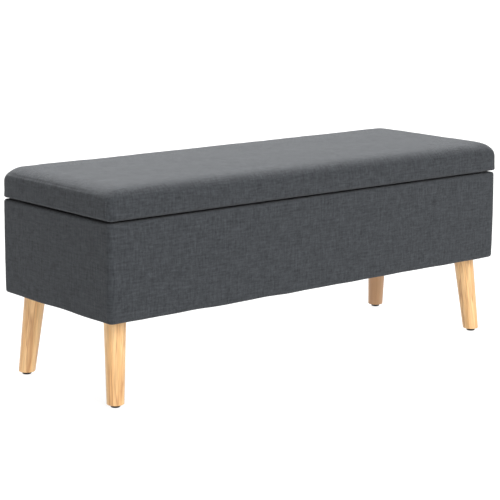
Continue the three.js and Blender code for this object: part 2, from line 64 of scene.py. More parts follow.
class Shader:
    """A new material, with short ways to add nodes to it."""

    def __init__(self, name, **surface):
        self.material = bpy.data.materials.new(name)
        self.material.use_nodes = True
        self.tree = self.material.node_tree
        self.surface = self.tree.nodes["Principled BSDF"]
        for socket, value in surface.items():
            self.surface.inputs[socket.replace("_", " ").title()].default_value = value

    def fill(self, socket, value):
        if isinstance(value, bpy.types.NodeSocket):
            self.tree.links.new(value, socket)
        else:
            socket.default_value = value

    def add(self, kind, inputs, **settings):
        node = self.tree.nodes.new("ShaderNode" + kind)
        for name, value in settings.items():
            setattr(node, name, value)
        for name, value in inputs.items():
            self.fill(node.inputs[name], value)
        return node

    def math(self, operation, first, second=0.0):
        node = self.add("Math", {0: first, 1: second}, operation=operation)
        return node.outputs[0]

    def stretched(self, vector, scale):
        node = self.add("VectorMath", {0: vector, 1: scale}, operation="MULTIPLY")
        return node.outputs[0]

    def noise(self, vector, scale, detail=2.0, roughness=0.5, distortion=0.0):
        inputs = {"Vector": vector, "Scale": scale, "Detail": detail}
        inputs.update({"Roughness": roughness, "Distortion": distortion})
        return self.add("TexNoise", inputs).outputs["Fac"]

    def ramp(self, value, *stops):
        """Maps value to the colour or grey of each stop (position, colour)."""
        node = self.add("ValToRGB", {"Fac": value})
        elements = node.color_ramp.elements
        while len(elements) < len(stops):
            elements.new(0.5)
        for element, (position, colour) in zip(elements, stops):
            element.position = position
            grey = not hasattr(colour, "__len__")
            element.color = (colour, colour, colour, 1) if grey else (*colour, 1)
        return node.outputs["Color"]

    def mix(self, factor, first, second, blend="MIX"):
        node = self.add("Mix", {0: factor}, data_type="RGBA", blend_type=blend)
        self.fill(node.inputs[6], first)
        self.fill(node.inputs[7], second)
        return node.outputs[2]

    def place(self):
        return self.add("TexCoord", {}).outputs["Object"]

    def uv(self, name):
        return self.add("UVMap", {}, uv_map=name).outputs["UV"]

    def colour(self, value):
        self.fill(self.surface.inputs["Base Color"], value)

    def rough(self, value):
        self.fill(self.surface.inputs["Roughness"], value)

    def bump(self, height, distance, strength=1.0):
        inputs = {"Height": height, "Distance": distance, "Strength": strength}
        normal = self.add("Bump", inputs).outputs["Normal"]
        self.fill(self.surface.inputs["Normal"], normal)


def rgb(red, green, blue):
    return (red, green, blue, 1.0)


# ---- Materials ----

WEAVE_UV = "weave"
YARN = 1.0 * MM  # from the middle of one yarn to the next
SLUB = (1000.0, 55.0, 0.0)  # how often a yarn's tone changes per metre, across and along it
STREAK = (230.0, 32.0, 0.0)  # and that of the longer linen streaks
FABRIC_DARK = rgb(0.0172, 0.0193, 0.0222)
FABRIC_LIGHT = rgb(0.0500, 0.0545, 0.0605)


def turned_round(scale):
    """The same pattern's scale, running the other way across the cloth."""
    x, y, z = scale
    return (y, x, z)


def fabric_material():
    """Charcoal linen-look plain weave: slubby yarns in two directions, and a soft sheen."""
    shader = Shader("charcoal_weave", roughness=0.92)
    shader.surface.inputs["Sheen Weight"].default_value = 0.08
    shader.surface.inputs["Sheen Roughness"].default_value = 0.5
    shader.surface.inputs["Specular IOR Level"].default_value = 0.25
    cloth = shader.uv(WEAVE_UV)
    across = shader.add("SeparateXYZ", {"Vector": cloth})
    half_turns = math.pi / YARN
    warp = shader.math("SINE", shader.math("MULTIPLY", across.outputs["X"], half_turns))
    weft = shader.math("SINE", shader.math("MULTIPLY", across.outputs["Y"], half_turns))
    over = shader.math("MULTIPLY_ADD", shader.math("MULTIPLY", warp, weft), 0.5)
    over.node.inputs[2].default_value = 0.5
    slub_warp = shader.noise(shader.stretched(cloth, SLUB), 1.0, 1.0)
    slub_weft = shader.noise(shader.stretched(cloth, turned_round(SLUB)), 1.0, 1.0)
    yarn = shader.mix(over, slub_warp, slub_weft)
    along = shader.noise(shader.stretched(cloth, turned_round(STREAK)), 1.0, 3.0, 0.65)
    upright = shader.noise(shader.stretched(cloth, STREAK), 1.0, 3.0, 0.65)
    mottle = shader.noise(cloth, 150.0, 3.0, 0.7)
    clouds = shader.noise(cloth, 42.0, 2.0)
    tone = shader.mix(0.3, shader.mix(0.5, along, upright), mottle)
    tone = shader.mix(0.15, tone, yarn)
    tone = shader.mix(0.09, tone, clouds)
    level = shader.ramp(tone, (0.39, 0.0), (0.61, 1.0))
    shader.colour(shader.mix(level, FABRIC_DARK, FABRIC_LIGHT))
    ridge_warp = shader.math("ABSOLUTE", warp)
    ridge_weft = shader.math("ABSOLUTE", weft)
    ridges = shader.mix(over, ridge_warp, ridge_weft)
    height = shader.mix(0.5, shader.mix(0.5, ridges, yarn), level)
    shader.bump(height, 0.8 * MM, 0.7)
    return shader.material


GRAIN = "grain"
HEARTWOOD_AND_SHADE = "heartwood_and_shade"
WOOD_PALE = rgb(0.85, 0.535, 0.25)
WOOD_MIDDLE = rgb(0.74, 0.415, 0.165)
WOOD_DARK = rgb(0.40, 0.18, 0.065)
# the browner heartwood tone, which also paints in the shade that falls on the back-right leg
WOOD_HEART_AND_SHADE = rgb(0.31, 0.155, 0.075)
DARKER_SHADED_LEG = "back_right"  # the one leg turned from browner heartwood, and also darkened with painted shade for the bench's shadow over it


def wood_material():
    """Pale wood with long streaks, a few darker flame lines and a clear satin lacquer. The
    leg's heartwood-and-shade attribute turns it browner and darker: partly heartwood, and partly
    painted shade for the leg that stands in the bench's shadow."""
    shader = Shader("pale_wood", roughness=0.42)
    shader.surface.inputs["Coat Weight"].default_value = 0.15
    shader.surface.inputs["Coat Roughness"].default_value = 0.28
    grain = shader.add("Attribute", {}, attribute_name=GRAIN).outputs["Vector"]
    bands = shader.noise(shader.stretched(grain, (75.0, 75.0, 3.2)), 1.0, 3.0, 0.55, 0.6)
    fine = shader.noise(shader.stretched(grain, (620.0, 620.0, 11.0)), 1.0, 3.0, 0.6)
    flame = shader.noise(shader.stretched(grain, (42.0, 42.0, 2.1)), 1.0, 2.0, 0.5, 1.3)
    body = shader.ramp(bands, (0.36, WOOD_MIDDLE[:3]), (0.58, WOOD_PALE[:3]))
    streak = shader.ramp(fine, (0.36, 0.74), (0.6, 1.0))
    tinted = shader.mix(1.0, body, streak, "MULTIPLY")
    line = shader.ramp(flame, (0.475, 0.0), (0.5, 0.7), (0.54, 0.0))
    heart_and_shade = shader.add("Attribute", {}, attribute_name=HEARTWOOD_AND_SHADE).outputs["Fac"]
    # painted shade: the attribute mixes this browner, darker tone into the shaded back-right leg,
    # as well as standing for its heartwood
    toned = shader.mix(heart_and_shade, tinted, shader.mix(0.75, tinted, WOOD_HEART_AND_SHADE))
    shader.colour(shader.mix(line, toned, WOOD_DARK))
    shader.rough(shader.ramp(fine, (0.3, 0.5), (0.7, 0.36)))
    shader.bump(fine, 0.08 * MM, 0.5)
    return shader.material


def plastic_material():
    """Black moulded plastic with a fine texture."""
    shader = Shader("black_plastic", roughness=0.4)
    shader.surface.inputs["Specular IOR Level"].default_value = 0.3
    place = shader.place()
    grain = shader.noise(place, 2400.0, 2.0)
    scuffs = shader.noise(place, 160.0, 4.0, 0.7)
    shader.colour(shader.mix(scuffs, rgb(0.005, 0.005, 0.006), rgb(0.014, 0.014, 0.015)))
    shader.rough(shader.ramp(scuffs, (0.35, 0.4), (0.7, 0.6)))
    shader.bump(grain, 0.05 * MM, 0.4)
    return shader.material


def zinc_material():
    """Zinc-plated steel, with faint rolling lines and duller patches."""
    shader = Shader("zinc_plate", roughness=0.35, metallic=1.0)
    place = shader.place()
    patches = shader.noise(place, 90.0, 4.0, 0.6)
    lines = shader.noise(shader.stretched(place, (2600.0, 60.0, 60.0)), 1.0, 2.0)
    shader.colour(shader.mix(patches, rgb(0.38, 0.40, 0.41), rgb(0.58, 0.60, 0.61)))
    shader.rough(shader.ramp(patches, (0.3, 0.3), (0.7, 0.48)))
    shader.bump(lines, 0.04 * MM, 0.35)
    return shader.material


def fibreboard_material():
    """Raw fibreboard: fine matted fibres and a few darker flecks."""
    shader = Shader("fibreboard", roughness=0.85)
    place = shader.place()
    fibres = shader.noise(place, 900.0, 4.0, 0.7, 0.8)
    clouds = shader.noise(place, 45.0, 3.0)
    tone = shader.mix(0.4, fibres, clouds)
    dark, middle, pale = (0.25, 0.15, 0.075), (0.40, 0.26, 0.14), (0.50, 0.34, 0.19)
    shader.colour(shader.ramp(tone, (0.3, dark), (0.5, middle), (0.7, pale)))
    shader.bump(fibres, 0.15 * MM, 0.5)
    return shader.material


def foam_material():
    """Open-cell upholstery foam."""
    shader = Shader("foam", roughness=0.95)
    cells = shader.add("TexVoronoi", {"Vector": shader.place(), "Scale": 900.0})
    distance = cells.outputs["Distance"]
    shader.colour(shader.mix(distance, rgb(0.66, 0.60, 0.46), rgb(0.84, 0.79, 0.66)))
    shader.bump(distance, 0.5 * MM, 0.6)
    return shader.material


def lining_material():
    """Black non-woven lining: pressed fibres with a grid of small bond points."""
    shader = Shader("black_lining", roughness=0.85)
    shader.surface.inputs["Sheen Weight"].default_value = 0.15
    place = shader.place()
    fibres = shader.noise(place, 700.0, 4.0, 0.7, 1.5)
    bonds = shader.add("TexVoronoi", {"Vector": place, "Scale": 480.0, "Randomness": 0.35})
    pressed = shader.ramp(bonds.outputs["Distance"], (0.15, 0.0), (0.35, 1.0))
    tone = shader.mix(0.5, fibres, pressed)
    shader.colour(shader.mix(tone, rgb(0.008, 0.008, 0.009), rgb(0.026, 0.026, 0.028)))
    shader.bump(tone, 0.25 * MM, 0.6)
    return shader.material


def thread_material():
    """The charcoal sewing thread of the seams, a little lighter than the cloth."""
    shader = Shader("charcoal_thread", roughness=0.8)
    place = shader.place()
    twist = shader.noise(place, 2000.0, 2.0)
    shader.colour(shader.mix(twist, rgb(0.07, 0.075, 0.08), rgb(0.12, 0.125, 0.135)))
    shader.bump(twist, 0.08 * MM, 0.5)
    return shader.material


MATERIALS = {
    "charcoal_fabric": fabric_material(),
    "pale_wood": wood_material(),
    "black_plastic": plastic_material(),
    "zinc_steel": zinc_material(),
    "fibreboard": fibreboard_material(),
    "foam": foam_material(),
    "black_lining": lining_material(),
}
THREAD = thread_material()

# ---- Meshes ----


def piece(name, body, slot, vertices, faces, cloth=None, material=None, smooth=True):
    """A mesh that rides on a body. cloth holds each face corner's place on flat cloth."""
    mesh = bpy.data.meshes.new(name)
    mesh.from_pydata([tuple(v) for v in vertices], [], faces)
    if cloth is not None:
        layer = mesh.uv_layers.new(name=WEAVE_UV)
        layer.data.foreach_set("uv", np.asarray(cloth, np.float32).ravel())
    mesh.materials.append(material or MATERIALS[slot])
    mesh.polygons.foreach_set("use_smooth", [smooth] * len(mesh.polygons))
    mesh.update()
    item = bpy.data.objects.new(name, mesh)
    bpy.context.scene.collection.objects.link(item)
    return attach(item, body)


def points_of(item):
    points = np.zeros(3 * len(item.data.vertices), np.float32)
    item.data.vertices.foreach_get("co", points)
    return points.reshape(-1, 3).astype(float)


def normals_of(item):
    normals = np.zeros(3 * len(item.data.vertices), np.float32)
    item.data.vertices.foreach_get("normal", normals)
    return normals.reshape(-1, 3).astype(float)


def move_points(item, points):
    item.data.vertices.foreach_set("co", points.astype(np.float32).ravel())
    item.data.update()


def ripples(points, wavelength, seed, waves=9):
    """Smooth noise between about -1 and 1, as a sum of waves in random directions."""
    random = np.random.default_rng(seed)
    total = np.zeros(len(points))
    for _ in range(waves):
        direction = random.normal(size=3)
        direction /= np.linalg.norm(direction)
        turns = 2 * math.pi / (wavelength * random.uniform(0.7, 1.5))
        total += np.sin(points @ direction * turns + random.uniform(0, 2 * math.pi))
    return total / math.sqrt(waves)


def smooth_step(value, low, high):
    t = np.clip((value - low) / (high - low), 0.0, 1.0)
    return t * t * (3 - 2 * t)


def apply_modifiers(item):
    evaluated = item.evaluated_get(bpy.context.evaluated_depsgraph_get())
    mesh = bpy.data.meshes.new_from_object(evaluated)
    item.modifiers.clear()
    item.data = mesh


def subdivide(item):
    item.modifiers.new("subdivide", "SUBSURF").levels = 1
    apply_modifiers(item)


def box_grid(xs, ys, zs):
    """The skin of a box cut into cells: its points, its faces, and where each face corner
    lies on one cloth that covers the top and is folded down over the four sides."""
    axes = (np.asarray(xs), np.asarray(ys), np.asarray(zs))
    number = {}
    faces = []
    cloth = []

    def corner(index):
        return number.setdefault(index, len(number))

    def on_cloth(index, axis, sign):
        x, y, z = (axes[k][index[k]] for k in range(3))
        drop = axes[2][-1] - z
        if axis == 0:
            return (x + sign * drop, y)
        if axis == 1:
            return (x, y + sign * drop)
        return (x, y)

    for axis in range(3):
        across, up = (axis + 1) % 3, (axis + 2) % 3
        for sign in (-1, 1):
            layer = 0 if sign < 0 else len(axes[axis]) - 1
            for i in range(len(axes[across]) - 1):
                for j in range(len(axes[up]) - 1):
                    steps = [(0, 0), (1, 0), (1, 1), (0, 1)][::sign]
                    loop = []
                    for di, dj in steps:
                        index = [0, 0, 0]
                        index[axis], index[across], index[up] = layer, i + di, j + dj
                        loop.append(tuple(index))
                    faces.append([corner(index) for index in loop])
                    cloth.extend(on_cloth(index, axis, sign) for index in loop)
    order = sorted(number, key=number.get)
    points = np.array([[axes[k][index[k]] for k in range(3)] for index in order])
    return points, faces, cloth


def spaced(low, high, step, extra=()):
    """Even divisions from low to high, with extra places put in between."""
    count = max(1, round((high - low) / step))
    places = list(np.linspace(low, high, count + 1))
    kept = [p for p in places if all(abs(p - e) > 0.4 * step for e in extra) or p in (low, high)]
    return sorted(kept + [e for e in extra if low < e < high])


def turned(profile, segments):
    """A solid of revolution about Z through (radius, height) points, as points and faces."""
    angles = 2 * math.pi * np.arange(segments) / segments
    points = [(r * math.cos(a), r * math.sin(a), z) for r, z in profile for a in angles]
    faces = []
    for ring in range(len(profile) - 1):
        for k in range(segments):
            low, high = ring * segments, (ring + 1) * segments
            after = (k + 1) % segments
            faces.append([low + k, low + after, high + after, high + k])
    last = (len(profile) - 1) * segments
    faces.append([segments - 1 - k for k in range(segments)])
    faces.append([last + k for k in range(segments)])
    return np.array(points), faces


def joined(parts):
    """Several (points, faces) as one."""
    points, faces = [], []
    for part_points, part_faces in parts:
        start = sum(len(p) for p in points)
        points.append(np.asarray(part_points))
        faces.extend([[start + v for v in face] for face in part_faces])
    return np.vstack(points), faces


def arc(centre, radii, start, end, steps):
    """Points on an ellipse in a profile's plane, between two angles in degrees."""
    (x, y), (across, up) = centre, radii
    angles = np.radians(np.linspace(start, end, steps + 1))
    return [(x + across * math.cos(a), y + up * math.sin(a)) for a in angles]


# ---- The lid ----

END_PROUD = 5 * MM  # how far the lid's soft cover stands out past its CAD solid at each end
FRONT_PROUD = 3 * MM  # and at the front
LID_ROUND_IN = np.array((45, 39)) * MM  # how far its top rounds over, in from end and front
LID_FRONT_DROP = 36 * MM  # and how far down its front and back
LID_END_DROP = 26 * MM  # and down its ends
LID_ROUNDNESS = 2.3  # of the rounded edge: 2 is elliptical, and less is more of a slope
LID_CORNER_SHARPNESS = (4.9, 3.2)  # seen from above, at the sides and on the top: 2 is round
LID_HEM_RADIUS = 3 * MM
HEM_DRAW = 40 * MM  # how wide a strip of the lid's underside the hem's rounding draws in
HEM_LIFT = 3.4 * MM  # how much higher than the board's underside the cover's outer edge runs
HEM_LIFT_WITHIN = (-5 * MM, -1 * MM)  # of the lid's outline, where the lift starts and is whole
HEM_LIFT_FADE = 30 * MM  # how far up the side the lift fades out
HINGE_ZONE = (45 * MM, 15 * MM)  # in from the back, where the lift starts to fall and is gone
LID_SLACK = 0.4 * MM  # the cushion is made this much low, and swells
LID_SWELL = 2.6 * MM  # the most that a point of it moves in swelling
LID_PINNED = 12 * MM  # the height of the part of it that doesn't move
LID_FREE = (2 * MM, 15 * MM)  # the heights from which its side may be uneven, and wholly so
LID_CROWN = 0.4 * MM  # how much lower the top is at its front and back than in its middle
LID_CROWN_FROM = 10 * MM  # the height from which the crown and the droop start
CORNER_DROOP = 1.2 * MM  # how much lower the top's corners are
LID_WAVES = (180 * MM, 0.5 * MM)  # the length and height of the cushion's long waves
LID_RIPPLES = (45 * MM, 0.16 * MM)  # and of its short ones
LID_SEAM = 15.5 * MM  # from the top down to the seam along each end
SEAM_GROOVE = (1.5 * MM, 0.6 * MM)  # half the seam's width, and its depth
SEAM_LIP = 0.1 * MM  # how far the cloth under the seam stands up
SEAM_ENDS = (22 * MM, 10 * MM)  # in from an end: where seams and pleats start, and are whole
SEAM_FRONT_FADE = (45 * MM, 130 * MM)  # from the front: where the seam starts, and is whole
SEAM_BACK_FADE = (8 * MM, 30 * MM)  # and from the back
PLEAT = 14 * MM  # from a corner to its pleat, along the end
PLEAT_GROOVE = (1.3 * MM, 0.5 * MM)
PLEAT_TOP_FADE = (14 * MM, 24 * MM)  # down from the top: where the pleat starts, and is whole
PLEAT_HEM_FADE = 4 * MM  # and up from the hem, where it ends
LID_STEP = 9 * MM  # between two cuts of the lid's skin
LID_ROW_STEP = 4.5 * MM  # and up its sides
BESIDE_SEAM = 1.8 * MM  # from a seam to the cuts on each side of it
lid_low, lid_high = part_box("lid_cover")
lid_low -= Vector((END_PROUD, FRONT_PROUD, 0))
lid_high += Vector((END_PROUD, 0, 0))
lid_centre = (lid_low + lid_high) / 2
lid_half = (lid_high - lid_low) / 2


def rounded_lid(points):
    """Rounds the skin of the lid's box: a wide top edge and squarish corners."""
    inner = points - np.array(lid_centre)
    core = np.array(lid_half.xy) - LID_ROUND_IN
    flat = inner[:, :2]
    reach_x, reach_y = ((flat - np.clip(flat, -core, core)) / LID_ROUND_IN).T
    towards_front = reach_y**2 / np.maximum(reach_x**2 + reach_y**2, 1e-9)
    drop = LID_END_DROP + (LID_FRONT_DROP - LID_END_DROP) * towards_front
    core_z = lid_half.z - drop
    reach_z = np.maximum(inner[:, 2] - core_z, 0) / drop
    side, top = LID_CORNER_SHARPNESS
    q = side + (top - side) * reach_z
    across = (np.abs(reach_x) ** q + np.abs(reach_y) ** q) ** (1 / q)
    p = LID_ROUNDNESS
    length = np.maximum((across**p + reach_z**p) ** (1 / p), 1e-9)
    widest = np.maximum(np.maximum(np.abs(reach_x), np.abs(reach_y)), reach_z)
    scale = np.where(widest > 1e-6, widest / length, 1.0)
    moved = inner.copy()
    moved[:, 0] += reach_x * (scale - 1) * LID_ROUND_IN[0]
    moved[:, 1] += reach_y * (scale - 1) * LID_ROUND_IN[1]
    moved[:, 2] += reach_z * (scale - 1) * drop
    return moved + np.array(lid_centre)


def away_from_hinges(points):
    """1 over the bench, falling to 0 along its back, where the hinges are."""
    start, end = HINGE_ZONE
    return 1 - smooth_step(points[:, 1], lid_high.y - start, lid_high.y - end)


def tuck_hem(points):
    """Draws the lid's lowest few millimetres in, to round its bottom edge, and lifts its rim."""
    rise = np.clip((lid_low.z + LID_HEM_RADIUS - points[:, 2]) / LID_HEM_RADIUS, 0.0, 1.0)
    inset = LID_HEM_RADIUS * (1 - np.sqrt(1 - rise**2))
    for axis in (0, 1):
        side = points[:, axis] - lid_centre[axis]
        near_edge = smooth_step(np.abs(side), lid_half[axis] - HEM_DRAW, lid_half[axis])
        points[:, axis] -= np.sign(side) * inset * near_edge
    rim = np.abs(points - np.array(lid_centre))[:, :2] - np.array(lid_half)[:2]
    at_rim = smooth_step(rim.max(axis=1), *HEM_LIFT_WITHIN)
    low = 1 - smooth_step(points[:, 2], lid_low.z, lid_low.z + HEM_LIFT_FADE)
    points[:, 2] += HEM_LIFT * at_rim * low * away_from_hinges(points)
    return points


def crown(points):
    """Raises the lid's top along its middle, and lets it droop towards the four corners."""
    x = points[:, 0] / lid_half.x
    y = (points[:, 1] - lid_centre.y) / lid_half.y
    top = smooth_step(points[:, 2], lid_low.z + LID_CROWN_FROM, lid_high.z)
    rise = -LID_CROWN * (y**2 + 0.35 * x**8 * (1 - y**2))
    droop = -CORNER_DROOP * np.abs(x) ** 14 * np.abs(y) ** 3
    points[:, 2] += top * (rise + droop)
    return points


SWELL_FRAMES = 20


def swell(item, pinned, most):
    """Blows a cushion up with a cloth simulation, then scales the whole swelling so that the
    point that moves furthest lies most from its start."""
    start = points_of(item)
    group = item.vertex_groups.new(name="pinned")
    group.add([int(i) for i in np.flatnonzero(pinned)], 1.0, "REPLACE")
    cloth = item.modifiers.new("swell", "CLOTH")
    cloth.settings.quality = 6
    cloth.settings.mass = 0.3
    cloth.settings.tension_stiffness = 20
    cloth.settings.compression_stiffness = 20
    cloth.settings.shear_stiffness = 8
    cloth.settings.bending_stiffness = 1.5
    cloth.settings.use_pressure = True
    cloth.settings.uniform_pressure_force = 30
    cloth.settings.vertex_group_mass = group.name
    cloth.settings.effector_weights.gravity = 0
    scene = bpy.context.scene
    for number in range(1, SWELL_FRAMES + 1):
        scene.frame_set(number)
    apply_modifiers(item)
    scene.frame_set(1)
    shift = points_of(item) - start
    shift *= most / np.linalg.norm(shift, axis=1).max()
    move_points(item, start + shift)
    item.vertex_groups.clear()


def press_lid_seams(item):
    """Presses in the seam along each end of the lid and the pleat at each corner."""
    points = points_of(item)
    normals = normals_of(item)
    start, whole = SEAM_ENDS
    near_end = smooth_step(np.abs(points[:, 0]), lid_high.x - start, lid_high.x - whole)
    depth = points[:, 1] - lid_low.y
    length = lid_high.y - lid_low.y
    fade = smooth_step(depth, *SEAM_FRONT_FADE) * smooth_step(length - depth, *SEAM_BACK_FADE)
    seam_width, seam_depth = SEAM_GROOVE
    pleat_width, pleat_depth = PLEAT_GROOVE
    from_seam = (points[:, 2] - (lid_high.z - LID_SEAM)) / seam_width
    groove = seam_depth * np.exp(-(from_seam**2)) * near_end * fade
    lip = SEAM_LIP * np.exp(-((from_seam + 2.6) ** 2) / 3) * near_end * fade
    on_side = smooth_step(lid_high.z - points[:, 2], *PLEAT_TOP_FADE)
    on_side *= smooth_step(points[:, 2], lid_low.z, lid_low.z + PLEAT_HEM_FADE)
    for edge in (0.0, length):
        from_pleat = (np.abs(depth - edge) - PLEAT) / pleat_width
        groove += pleat_depth * np.exp(-(from_pleat**2)) * on_side * near_end
    move_points(item, points + normals * (lip - groove)[:, None])


def both_ends(low, high, distances):
    """Places at some distances in from each end of a stretch."""
    return [low + d for d in distances] + [high - d for d in distances]


def lid_grid():
    """Where the lid's skin is cut: evenly, and closer along its hem, seams and pleats."""
    low, high = lid_low, lid_high
    beside = (-BESIDE_SEAM, 0.0, BESIDE_SEAM)
    from_end = [d * MM for d in (3, 6, 10, 15, 20, 26, 32, 38, 45)]
    from_front = [d * MM for d in (3, 6, 9)] + [PLEAT + d for d in beside] + [20 * MM, 25 * MM]
    hem_rows = [low.z + 1.2 * MM, low.z + LID_HEM_RADIUS, low.z + 8 * MM]
    seam_rows = [high.z - LID_SEAM + d for d in beside]
    xs = spaced(low.x, high.x, LID_STEP, both_ends(low.x, high.x, from_end))
    ys = spaced(low.y, high.y, LID_STEP, both_ends(low.y, high.y, from_front))
    zs = spaced(low.z, high.z, LID_ROW_STEP, hem_rows + seam_rows)
    return xs, ys, zs


def lid_cushion():
    """The lid's padded cover: a rounded box, swollen by simulation, with its seams pressed in."""
    points, faces, cloth = box_grid(*lid_grid())
    points = crown(tuck_hem(rounded_lid(points)))
    item = piece("lid_cushion", "lid", "charcoal_fabric", points, faces, cloth)
    top = smooth_step(points[:, 2], lid_low.z + LID_HEM_RADIUS, lid_high.z)
    points[:, 2] -= LID_SLACK * top
    move_points(item, points)
    swell(item, points[:, 2] < lid_low.z + LID_PINNED, LID_SWELL)
    subdivide(item)
    points = points_of(item)
    outward = normals_of(item)
    free = smooth_step(points[:, 2] - lid_low.z, *LID_FREE)
    (long, long_rise), (short, short_rise) = LID_WAVES, LID_RIPPLES
    uneven = long_rise * ripples(points, long, 3) + short_rise * ripples(points, short, 4)
    move_points(item, points + outward * (free * uneven)[:, None])
    press_lid_seams(item)
    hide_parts("lid_cover", "lid_foam")
    return item


# ---- The box ----

base_low, base_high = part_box("base_cover")
panel_low, panel_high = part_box("front_panel")
BASE_CORNER = 12 * MM
BASE_END_PROUD = 7 * MM  # how far the padded cover stands out past its CAD solid at each end
BASE_TOP_EDGE = (4.5 * MM, 6 * MM)  # how far the top edge rounds over: inwards, and down
BASE_BOTTOM_EDGE = 6 * MM
BASE_ROLL = 0.8 * MM  # how far the cover's bottom roll hangs below the box
BASE_STEP = 7 * MM  # between two cuts along the cover
BASE_HEM = 25 * MM  # how far in under the box the cover is folded
COVER = 1.2 * MM  # the cloth's thickness where it lies on wood
BASE_CROWN = 0.7 * MM  # how far the sides stand out halfway up
BASE_WAVES = (160 * MM, 0.45 * MM)  # the length and height of the sides' long waves
BASE_RIPPLES = (40 * MM, 0.12 * MM)  # and of their short ones
BASE_ROLL_WAVES = (120 * MM, 0.7 * MM)  # and of the bottom roll's ups and downs
CORNER_GROOVE = (1.1 * MM, 0.6 * MM)  # half the width of the seam at each corner, and its depth
CORNER_SEAM = 22.5  # degrees round a corner, from the end of the box
SEAM_STEP = 3.5  # degrees between the cuts beside the seam


def corner_angles():
    """Where a corner's arc is cut, in degrees from the end of the box, closest at the seam."""
    seam = [CORNER_SEAM + SEAM_STEP * k for k in (-2, -1, -0.4, 0.4, 1, 2)]
    return [0, 8, *seam, 38, 48, 58, 68, 79, 90]


def rounded_outline(low, high, inset, radius, step):
    """Points round a rounded rectangle, drawn in by inset. Each inset gives as many points."""
    radius_here = max(radius - inset, 0.5 * MM)
    centre = (low + high) / 2
    half = (high - low) / 2
    core = (half.x - inset - radius_here, half.y - inset - radius_here)
    counts = (round(2 * (half.x - radius) / step), round(2 * (half.y - radius) / step))
    points = []
    quarters = [(1, 1), (-1, 1), (-1, -1), (1, -1)]
    for index, (sign_x, sign_y) in enumerate(quarters):
        angles = corner_angles()
        if sign_x * sign_y < 0:
            angles = angles[::-1]
        for angle in np.radians(angles):
            x = sign_x * (core[0] + radius_here * math.cos(angle))
            y = sign_y * (core[1] + radius_here * math.sin(angle))
            points.append((centre.x + x, centre.y + y))
        along = counts[index % 2]
        next_x, next_y = quarters[(index + 1) % 4]
        start = points[-1]
        if index % 2 == 0:
            end = (centre.x + next_x * core[0], start[1])
        else:
            end = (start[0], centre.y + next_y * core[1])
        for k in range(1, along):
            share = k / along
            points.append(tuple(s + (e - s) * share for s, e in zip(start, end)))
    return np.array(points)


def swept(outline, profile):
    """Sweeps a closed profile of (inset, height) round an outline, with its cloth places."""
    rings = [outline(inset) for inset, _ in profile]
    count = len(rings[0])
    points = np.vstack(
        [np.column_stack([ring, np.full(count, z)]) for ring, (_, z) in zip(rings, profile)]
    )
    outer = outline(0.0)
    around = np.r_[0, np.cumsum(np.linalg.norm(np.diff(outer, axis=0, append=outer[:1]), axis=1))]
    steps = np.diff(np.array(profile), axis=0, append=[profile[0]])
    along = np.r_[0, np.cumsum(np.linalg.norm(steps, axis=1))]
    faces = []
    cloth = []
    for row in range(len(profile)):
        above = (row + 1) % len(profile)
        for k in range(count):
            after = (k + 1) % count
            loop = [row * count + k, row * count + after, above * count + after, above * count + k]
            faces.append(loop)
            u, u_next, v, v_next = around[k], around[k + 1], along[row], along[row + 1]
            cloth.extend([(u, v), (u_next, v), (u_next, v_next), (u, v_next)])
    return points, faces, cloth


def base_profile():
    """The cover's cross-section, as a closed loop: out from the hem under the box, up its
    side, over the rim, and back down on the wood's face. Its corners are eased a little."""
    low, high = base_low.z, base_high.z
    ease = 0.3 * MM
    edge_in, edge_down = BASE_TOP_EDGE
    skin = panel_low.x - base_low.x - HAIR
    rim_in = skin + (panel_high.y - panel_low.y) + HAIR
    roll = low - BASE_ROLL + BASE_BOTTOM_EDGE
    bottom = arc((BASE_BOTTOM_EDGE, roll), (BASE_BOTTOM_EDGE,) * 2, 270, 180, 5)
    top = arc((edge_in, high - edge_down), (edge_in, edge_down), 180, 90, 8)
    side_rows = np.linspace(roll, high - edge_down, 28)[1:-1]
    side = [(0.0, z) for z in side_rows]
    rim = [(share * (rim_in - edge_in) + edge_in, high) for share in (0.35, 0.7, 0.92)]
    rim += [(rim_in, high - ease), (rim_in, high - COVER)]
    inside = [(rim_in - 0.5 * MM, high - COVER), (skin + 1.5 * MM, high - COVER)]
    inside += [(skin, high - 4 * MM), (skin, (low + high) / 2), (skin, low + COVER + 3 * MM)]
    inside += [(skin + 0.5 * MM, low + COVER), (BASE_HEM - 1 * MM, low + COVER)]
    hem = [(BASE_HEM, low + COVER - ease), (BASE_HEM, low + ease)]
    hem += [(BASE_HEM - 1 * MM, low), (BASE_HEM * 0.6, low)]
    return [*hem, *bottom, *side, *top, *rim, *inside]


def seam_distance(points):
    """How far each point is from the nearest corner seam, along the cover."""
    centre = (base_low + base_high) / 2
    x = np.abs(points[:, 0] - centre.x) - (base_high.x - centre.x - BASE_CORNER)
    y = np.abs(points[:, 1] - centre.y) - (base_high.y - centre.y - BASE_CORNER)
    angle = np.arctan2(np.maximum(y, 0), np.maximum(x, 1e-6))
    return BASE_CORNER * np.abs(angle - math.radians(CORNER_SEAM)) + np.where(x < 0, 1.0, 0.0)


